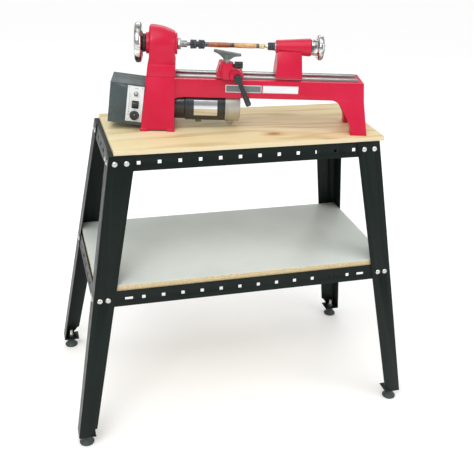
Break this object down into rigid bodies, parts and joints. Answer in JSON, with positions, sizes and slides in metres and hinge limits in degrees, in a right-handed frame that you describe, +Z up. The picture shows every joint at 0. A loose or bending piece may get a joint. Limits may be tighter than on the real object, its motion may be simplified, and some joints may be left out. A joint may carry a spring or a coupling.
{
  "type": "wood lathe",
  "caption": "Small wood lathe with a pen mandrel between centres, tool rest, tailstock and speed box, on a splayed-leg steel stand with a board top and a shelf.",
  "frame": {"origin": "on the floor below the middle of the stand's top, at the centre of the bottom of the bounding box", "axes": "+X along the stand's long side towards the tailstock end, +Y from the front to the back, +Z up; the lathe is turned by -12.8 degrees about Z on its bench"},
  "size_m": [0.9164, 0.5004, 1.028],
  "materials": {
    "stand_paint": "satin green-black powder coat",
    "zinc": "bright zinc plate",
    "pine": "pale pine face with grain and a knot",
    "laminate": "pale grey laminate on a chipboard core",
    "foot_plastic": "dark moulded pad on a plated stem",
    "red_enamel": "crimson enamel on a casting, slightly orange-peeled",
    "ground_steel": "ground steel",
    "chrome": "polished chrome",
    "black_plastic": "moulded black plastic",
    "black_steel": "blackened steel",
    "bright_steel": "turned bright steel",
    "blank_dark": "turned red-brown blank, sanded",
    "blank_light": "turned amber to tan blank, sanded",
    "brass": "knurled brass",
    "motor_paint": "semi-gloss black",
    "cap_aluminium": "die-cast aluminium",
    "label_foil": "blank silver foil plates",
    "pulley_metal": "turned aluminium",
    "belt_rubber": "black ribbed belt",
    "box_paint": "dark green-grey powder coat",
    "white_panel": "white printed panel, left blank",
    "rest_iron": "grey-green cast iron with a worn top edge"
  },
  "bodies": {
    "stand": {"leg_front_left": "stand_paint", "leg_front_right": "stand_paint", "leg_rear_left": "stand_paint", "leg_rear_right": "stand_paint", "top_long_rails": "stand_paint", "top_end_rails": "stand_paint", "shelf_long_rails": "stand_paint", "shelf_end_rails": "stand_paint", "bench_top": "pine", "shelf_board": "laminate", "stand_bolts": "zinc", "stand_nuts": "zinc", "bed_casting": "red_enamel", "bed_ways": "ground_steel", "bed_label_plates": "label_foil", "headstock_casting": "red_enamel", "shaft_bearings": "ground_steel", "motor_shell": "motor_paint", "motor_end_cap": "cap_aluminium", "motor_plate": "label_foil", "brush_caps": "black_plastic", "motor_cable_gland": "cap_aluminium", "drive_belt": "belt_rubber", "control_box": "box_paint", "control_box_back": "box_paint", "control_panel": "white_panel", "toggle_collar": "bright_steel"},
    "spindle": {"spindle": "ground_steel", "spindle_handwheel": "chrome", "handwheel_hub": "black_plastic", "spindle_pulley": "pulley_metal", "pen_mandrel": "bright_steel", "collet_nuts": "black_steel", "mandrel_bushings": "bright_steel", "pen_blank_dark": "blank_dark", "pen_blank_light": "blank_light", "mandrel_nut": "brass"},
    "rotor": {"motor_rotor": "ground_steel", "motor_pulley": "pulley_metal"},
    "tailstock": {"tailstock_casting": "red_enamel", "tailstock_clamp": "ground_steel"},
    "tailstock_lever": {"tailstock_lever": "black_steel"},
    "quill": {"quill": "ground_steel", "live_centre_body": "black_steel"},
    "centre_point": {"live_centre_point": "bright_steel"},
    "tailstock_wheel": {"tailstock_screw": "ground_steel", "tailstock_handwheel": "chrome"},
    "banjo_carriage": {"banjo_clamp": "ground_steel"},
    "banjo": {"banjo": "red_enamel"},
    "cam_lever": {"cam_lever": "black_steel"},
    "rest_post": {"rest_post": "ground_steel"},
    "tool_rest": {"tool_rest": "rest_iron"},
    "rest_lock_knob": {"rest_lock_knob": "black_plastic"},
    "speed_knob": {"speed_knob": "black_plastic"},
    "power_rocker": {"power_rocker": "black_plastic"},
    "direction_toggle": {"direction_toggle": "bright_steel"},
    "foot_front_left": {"levelling_foot_front_left": "foot_plastic"},
    "foot_front_right": {"levelling_foot_front_right": "foot_plastic"},
    "foot_rear_left": {"levelling_foot_rear_left": "foot_plastic"},
    "foot_rear_right": {"levelling_foot_rear_right": "foot_plastic"}
  },
  "joints": [
    {"name": "spindle_spin", "type": "hinge", "parent": "stand", "child": "spindle", "pos_m": [-0.17553, 0.03988, 0.979], "axis": [0.9751, -0.2215, 0], "continuous": true},
    {"name": "rotor_spin", "type": "hinge", "parent": "stand", "child": "rotor", "pos_m": [-0.08776, 0.01994, 0.83], "axis": [0.9751, -0.2215, 0], "continuous": true},
    {"name": "tailstock_slide", "type": "slide", "parent": "stand", "child": "tailstock", "axis": [0.9751, -0.2215, 0], "range_m": [0, 0.13]},
    {"name": "tailstock_lever_turn", "type": "hinge", "parent": "tailstock", "child": "tailstock_lever", "pos_m": [0.13368, 0.01065, 0.9303], "axis": [0.2215, 0.9751, 0], "range_deg": [-60, 20]},
    {"name": "tailstock_wheel_turn", "type": "hinge", "parent": "tailstock", "child": "tailstock_wheel", "pos_m": [0.19503, -0.04431, 0.979], "axis": [0.9751, -0.2215, 0], "range_deg": [0, 2880]},
    {"name": "quill_slide", "type": "slide", "parent": "tailstock", "child": "quill", "axis": [0.9751, -0.2215, 0], "range_m": [0, 0.02]},
    {"name": "centre_spin", "type": "hinge", "parent": "quill", "child": "centre_point", "pos_m": [0.07801, -0.01772, 0.979], "axis": [0.9751, -0.2215, 0], "continuous": true},
    {"name": "banjo_slide", "type": "slide", "parent": "stand", "child": "banjo_carriage", "axis": [0.9751, -0.2215, 0], "range_m": [-0.06, 0.06]},
    {"name": "banjo_cross", "type": "slide", "parent": "banjo_carriage", "child": "banjo", "axis": [-0.2215, -0.9751, 0], "range_m": [0, 0.025]},
    {"name": "cam_lever_turn", "type": "hinge", "parent": "banjo", "child": "cam_lever", "pos_m": [-0.01538, -0.06316, 0.913], "axis": [0.2215, 0.9751, 0], "range_deg": [-90, 20]},
    {"name": "rest_lift", "type": "slide", "parent": "banjo", "child": "rest_post", "axis": [0, 0, 1], "range_m": [-0.004, 0.02]},
    {"name": "rest_turn", "type": "hinge", "parent": "rest_post", "child": "tool_rest", "pos_m": [-0.03772, -0.03963, 0.956], "axis": [0, 0, 1], "range_deg": [-15, 85]},
    {"name": "rest_lock_turn", "type": "hinge", "parent": "banjo", "child": "rest_lock_knob", "pos_m": [-0.01041, -0.04583, 0.9415], "axis": [0.9751, -0.2215, 0], "range_deg": [-180, 0]},
    {"name": "speed_turn", "type": "hinge", "parent": "stand", "child": "speed_knob", "pos_m": [-0.26088, -0.00021, 0.81207], "axis": [0.2215, 0.9751, 0], "range_deg": [0, 300]},
    {"name": "power_rocker_tilt", "type": "hinge", "parent": "stand", "child": "power_rocker", "pos_m": [-0.2574, 0.00208, 0.83911], "axis": [0.9696, -0.2203, -0.1061], "range_deg": [-12, 0]},
    {"name": "direction_toggle_tilt", "type": "hinge", "parent": "stand", "child": "direction_toggle", "pos_m": [-0.2546, 0.00144, 0.86596], "axis": [0.9696, -0.2203, -0.1061], "range_deg": [0, 28]},
    {"name": "foot_front_left_turn", "type": "hinge", "parent": "stand", "child": "foot_front_left", "pos_m": [-0.43716, -0.23021, 0.02], "axis": [0, 0, 1], "continuous": true},
    {"name": "foot_front_right_turn", "type": "hinge", "parent": "stand", "child": "foot_front_right", "pos_m": [0.43716, -0.23021, 0.02], "axis": [0, 0, 1], "continuous": true},
    {"name": "foot_rear_left_turn", "type": "hinge", "parent": "stand", "child": "foot_rear_left", "pos_m": [-0.43716, 0.23021, 0.02], "axis": [0, 0, 1], "continuous": true},
    {"name": "foot_rear_right_turn", "type": "hinge", "parent": "stand", "child": "foot_rear_right", "pos_m": [0.43716, 0.23021, 0.02], "axis": [0, 0, 1], "continuous": true}
  ],
  "couplings": [
    {"joint": "rotor_spin", "follows": "spindle_spin", "ratio": 1.5},
    {"joint": "centre_spin", "follows": "spindle_spin", "ratio": 1},
    {"joint": "quill_slide", "follows": "tailstock_wheel_turn", "m_per_rad": 0.00039789}
  ]
}
